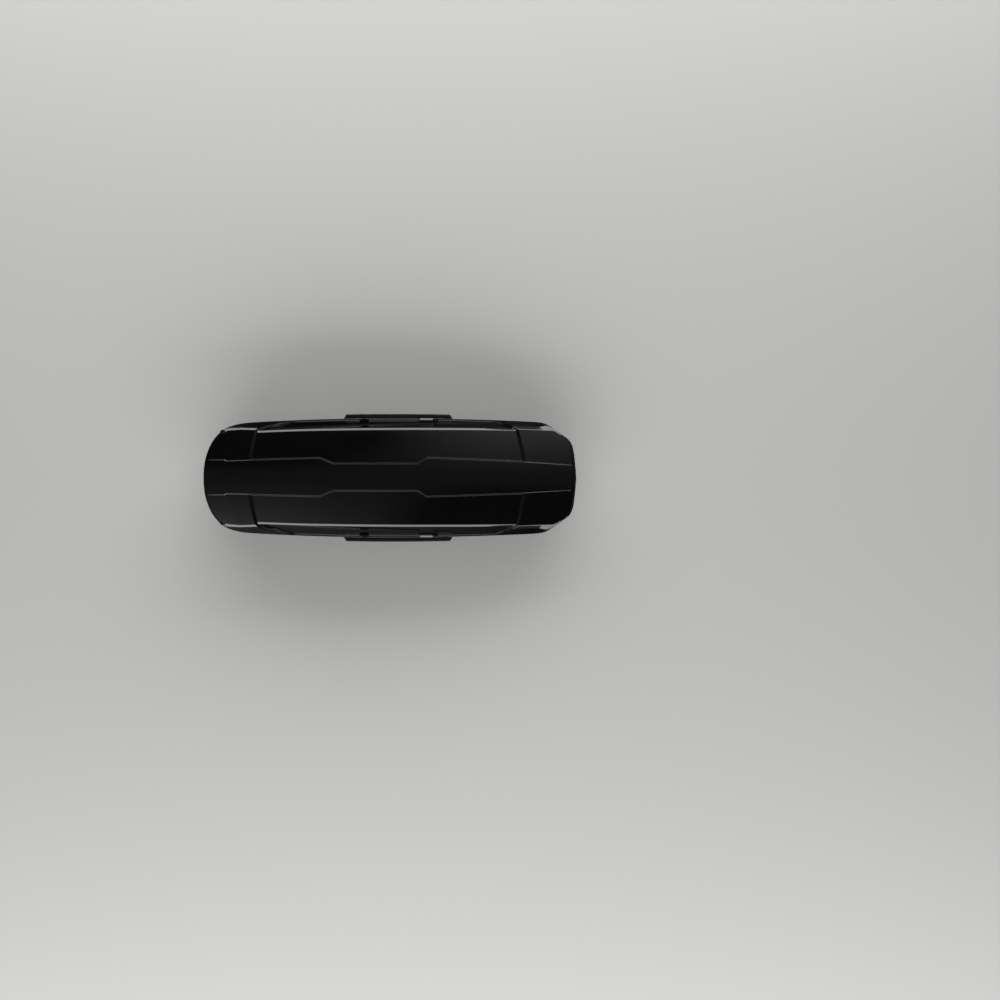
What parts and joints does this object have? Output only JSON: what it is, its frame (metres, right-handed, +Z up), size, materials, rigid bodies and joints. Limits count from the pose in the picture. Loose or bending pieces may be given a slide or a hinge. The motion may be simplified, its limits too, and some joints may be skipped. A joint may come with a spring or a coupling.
{
  "type": "roof cargo box",
  "caption": "Narrow two-sided roof box with a sculpted gloss lid on a tub base, sprung lifters, slide-lever locks and knob-driven crossbar clamps.",
  "frame": {"origin": "centre of the box in plan, level with the underside of the clamp jaws", "axes": "+X towards the front of the car, +Y to its left side, +Z up"},
  "size_m": [1.9, 0.652, 0.42],
  "materials": {
    "gloss_lid": "high-gloss black thermoformed sheet",
    "satin_base": "fine-textured black sheet",
    "grip_plastic": "satin black moulding",
    "dark_nylon": "glass-filled nylon, fine spark texture",
    "zinc_steel": "zinc-plated folded sheet",
    "pin_steel": "ground steel",
    "black_steel": "black powder coat",
    "white_nylon": "natural nylon",
    "lock_plastic": "satin black",
    "silver_plastic": "silver-grey painted plastic",
    "rubber": "matt EPDM",
    "webbing": "woven polyester webbing",
    "rivet_aluminium": "bright blind rivet head",
    "clamp_plastic": "glass-filled nylon",
    "knob_plastic": "satin moulding with raised bar"
  },
  "bodies": {
    "base": {"base_shell": "satin_base", "flange_edging": "rubber", "base_rail_left": "zinc_steel", "base_rail_right": "zinc_steel", "lifter_beams": "dark_nylon", "hinge_posts_left": "dark_nylon", "hinge_posts_right": "dark_nylon", "hinge_pins": "pin_steel", "hinge_sleeves_left": "white_nylon", "lifter_pins": "pin_steel", "lifter_springs": "pin_steel", "crossbar_seats": "rubber", "load_straps": "webbing", "strap_buckles": "dark_nylon", "rivets": "rivet_aluminium", "clamp_housing_front_left": "clamp_plastic", "clamp_housing_front_right": "clamp_plastic", "clamp_housing_rear_left": "clamp_plastic", "clamp_housing_rear_right": "clamp_plastic"},
    "right_sleeves": {"hinge_sleeves_right": "white_nylon"},
    "lid": {"lid_shell": "gloss_lid", "lid_rail_left": "zinc_steel", "lid_rail_right": "zinc_steel", "lid_crossbars": "zinc_steel", "rail_brackets": "zinc_steel", "claws_left": "dark_nylon", "claws_right": "dark_nylon", "grip_left": "grip_plastic", "grip_right": "grip_plastic", "lock_surround_left": "dark_nylon", "lock_surround_right": "dark_nylon"},
    "left_lifters": {"lifter_arms_left": "black_steel"},
    "right_lifters": {"lifter_arms_right": "black_steel"},
    "left_rollers": {"lifter_rollers_left": "white_nylon"},
    "right_rollers": {"lifter_rollers_right": "white_nylon"},
    "left_lock": {"slide_lever_left": "silver_plastic", "lock_bar_left": "zinc_steel"},
    "right_lock": {"slide_lever_right": "silver_plastic", "lock_bar_right": "zinc_steel"},
    "left_key": {"key_cylinder_left": "lock_plastic"},
    "right_key": {"key_cylinder_right": "lock_plastic"},
    "front_left_knob": {"clamp_knob_front_left": "knob_plastic"},
    "front_left_jaw_ahead": {"jaw_ahead_front_left": "black_steel"},
    "front_left_jaw_behind": {"jaw_behind_front_left": "black_steel"},
    "front_right_knob": {"clamp_knob_front_right": "knob_plastic"},
    "front_right_jaw_ahead": {"jaw_ahead_front_right": "black_steel"},
    "front_right_jaw_behind": {"jaw_behind_front_right": "black_steel"},
    "rear_left_knob": {"clamp_knob_rear_left": "knob_plastic"},
    "rear_left_jaw_ahead": {"jaw_ahead_rear_left": "black_steel"},
    "rear_left_jaw_behind": {"jaw_behind_rear_left": "black_steel"},
    "rear_right_knob": {"clamp_knob_rear_right": "knob_plastic"},
    "rear_right_jaw_ahead": {"jaw_ahead_rear_right": "black_steel"},
    "rear_right_jaw_behind": {"jaw_behind_rear_right": "black_steel"}
  },
  "joints": [
    {"name": "right_hinges", "type": "hinge", "parent": "base", "child": "right_sleeves", "pos_m": [0, -0.236, 0.15], "axis": [1, 0, 0], "range_deg": [0, 55]},
    {"name": "left_hinges", "type": "hinge", "parent": "right_sleeves", "child": "lid", "pos_m": [0, 0.236, 0.15], "axis": [1, 0, 0], "range_deg": [-55, 0]},
    {"name": "right_lifters_swing", "type": "hinge", "parent": "base", "child": "right_lifters", "pos_m": [0, -0.1, 0.15], "axis": [1, 0, 0], "range_deg": [0, 80]},
    {"name": "left_lifters_swing", "type": "hinge", "parent": "base", "child": "left_lifters", "pos_m": [0, 0.1, 0.15], "axis": [1, 0, 0], "range_deg": [-80, 0]},
    {"name": "right_rollers_turn", "type": "hinge", "parent": "right_lifters", "child": "right_rollers", "pos_m": [0, 0.164, 0.15], "axis": [1, 0, 0], "continuous": true},
    {"name": "left_rollers_turn", "type": "hinge", "parent": "left_lifters", "child": "left_rollers", "pos_m": [0, -0.164, 0.15], "axis": [1, 0, 0], "continuous": true},
    {"name": "left_lock_slide", "type": "slide", "parent": "lid", "child": "left_lock", "axis": [1, 0, 0], "range_m": [0, 0.022]},
    {"name": "left_key_turn", "type": "hinge", "parent": "lid", "child": "left_key", "pos_m": [-0.128, 0.28928, 0.193], "axis": [-0.0104, 0.9384, 0.3454], "range_deg": [0, 90]},
    {"name": "right_lock_slide", "type": "slide", "parent": "lid", "child": "right_lock", "axis": [1, 0, 0], "range_m": [0, 0.022]},
    {"name": "right_key_turn", "type": "hinge", "parent": "lid", "child": "right_key", "pos_m": [-0.128, -0.28928, 0.193], "axis": [-0.0104, -0.9384, 0.3454], "range_deg": [0, 90]},
    {"name": "front_left_knob_turn", "type": "hinge", "parent": "base", "child": "front_left_knob", "pos_m": [0.39498, 0.125, 0.0886], "axis": [0, 0, 1], "range_deg": [0, 360]},
    {"name": "front_left_jaw_ahead_swing", "type": "hinge", "parent": "base", "child": "front_left_jaw_ahead", "pos_m": [0.44049, 0.125, 0.0686], "axis": [0, -1, 0], "range_deg": [0, 22]},
    {"name": "front_left_jaw_behind_swing", "type": "hinge", "parent": "base", "child": "front_left_jaw_behind", "pos_m": [0.34948, 0.125, 0.0686], "axis": [0, 1, 0], "range_deg": [0, 22]},
    {"name": "front_right_knob_turn", "type": "hinge", "parent": "base", "child": "front_right_knob", "pos_m": [0.39498, -0.125, 0.0886], "axis": [0, 0, 1], "range_deg": [0, 360]},
    {"name": "front_right_jaw_ahead_swing", "type": "hinge", "parent": "base", "child": "front_right_jaw_ahead", "pos_m": [0.44049, -0.125, 0.0686], "axis": [0, -1, 0], "range_deg": [0, 22]},
    {"name": "front_right_jaw_behind_swing", "type": "hinge", "parent": "base", "child": "front_right_jaw_behind", "pos_m": [0.34948, -0.125, 0.0686], "axis": [0, 1, 0], "range_deg": [0, 22]},
    {"name": "rear_left_knob_turn", "type": "hinge", "parent": "base", "child": "rear_left_knob", "pos_m": [-0.34502, 0.125, 0.0886], "axis": [0, 0, 1], "range_deg": [0, 360]},
    {"name": "rear_left_jaw_ahead_swing", "type": "hinge", "parent": "base", "child": "rear_left_jaw_ahead", "pos_m": [-0.29951, 0.125, 0.0686], "axis": [0, -1, 0], "range_deg": [0, 22]},
    {"name": "rear_left_jaw_behind_swing", "type": "hinge", "parent": "base", "child": "rear_left_jaw_behind", "pos_m": [-0.39052, 0.125, 0.0686], "axis": [0, 1, 0], "range_deg": [0, 22]},
    {"name": "rear_right_knob_turn", "type": "hinge", "parent": "base", "child": "rear_right_knob", "pos_m": [-0.34502, -0.125, 0.0886], "axis": [0, 0, 1], "range_deg": [0, 360]},
    {"name": "rear_right_jaw_ahead_swing", "type": "hinge", "parent": "base", "child": "rear_right_jaw_ahead", "pos_m": [-0.29951, -0.125, 0.0686], "axis": [0, -1, 0], "range_deg": [0, 22]},
    {"name": "rear_right_jaw_behind_swing", "type": "hinge", "parent": "base", "child": "rear_right_jaw_behind", "pos_m": [-0.39052, -0.125, 0.0686], "axis": [0, 1, 0], "range_deg": [0, 22]}
  ],
  "couplings": [
    {"joint": "right_lifters_swing", "follows": "right_hinges", "ratio": 1.4535},
    {"joint": "left_lifters_swing", "follows": "left_hinges", "ratio": 1.4535},
    {"joint": "front_left_jaw_ahead_swing", "follows": "front_left_knob_turn", "ratio": 0.061111},
    {"joint": "front_left_jaw_behind_swing", "follows": "front_left_knob_turn", "ratio": 0.061111},
    {"joint": "front_right_jaw_ahead_swing", "follows": "front_right_knob_turn", "ratio": 0.061111},
    {"joint": "front_right_jaw_behind_swing", "follows": "front_right_knob_turn", "ratio": 0.061111},
    {"joint": "rear_left_jaw_ahead_swing", "follows": "rear_left_knob_turn", "ratio": 0.061111},
    {"joint": "rear_left_jaw_behind_swing", "follows": "rear_left_knob_turn", "ratio": 0.061111},
    {"joint": "rear_right_jaw_ahead_swing", "follows": "rear_right_knob_turn", "ratio": 0.061111},
    {"joint": "rear_right_jaw_behind_swing", "follows": "rear_right_knob_turn", "ratio": 0.061111}
  ]
}
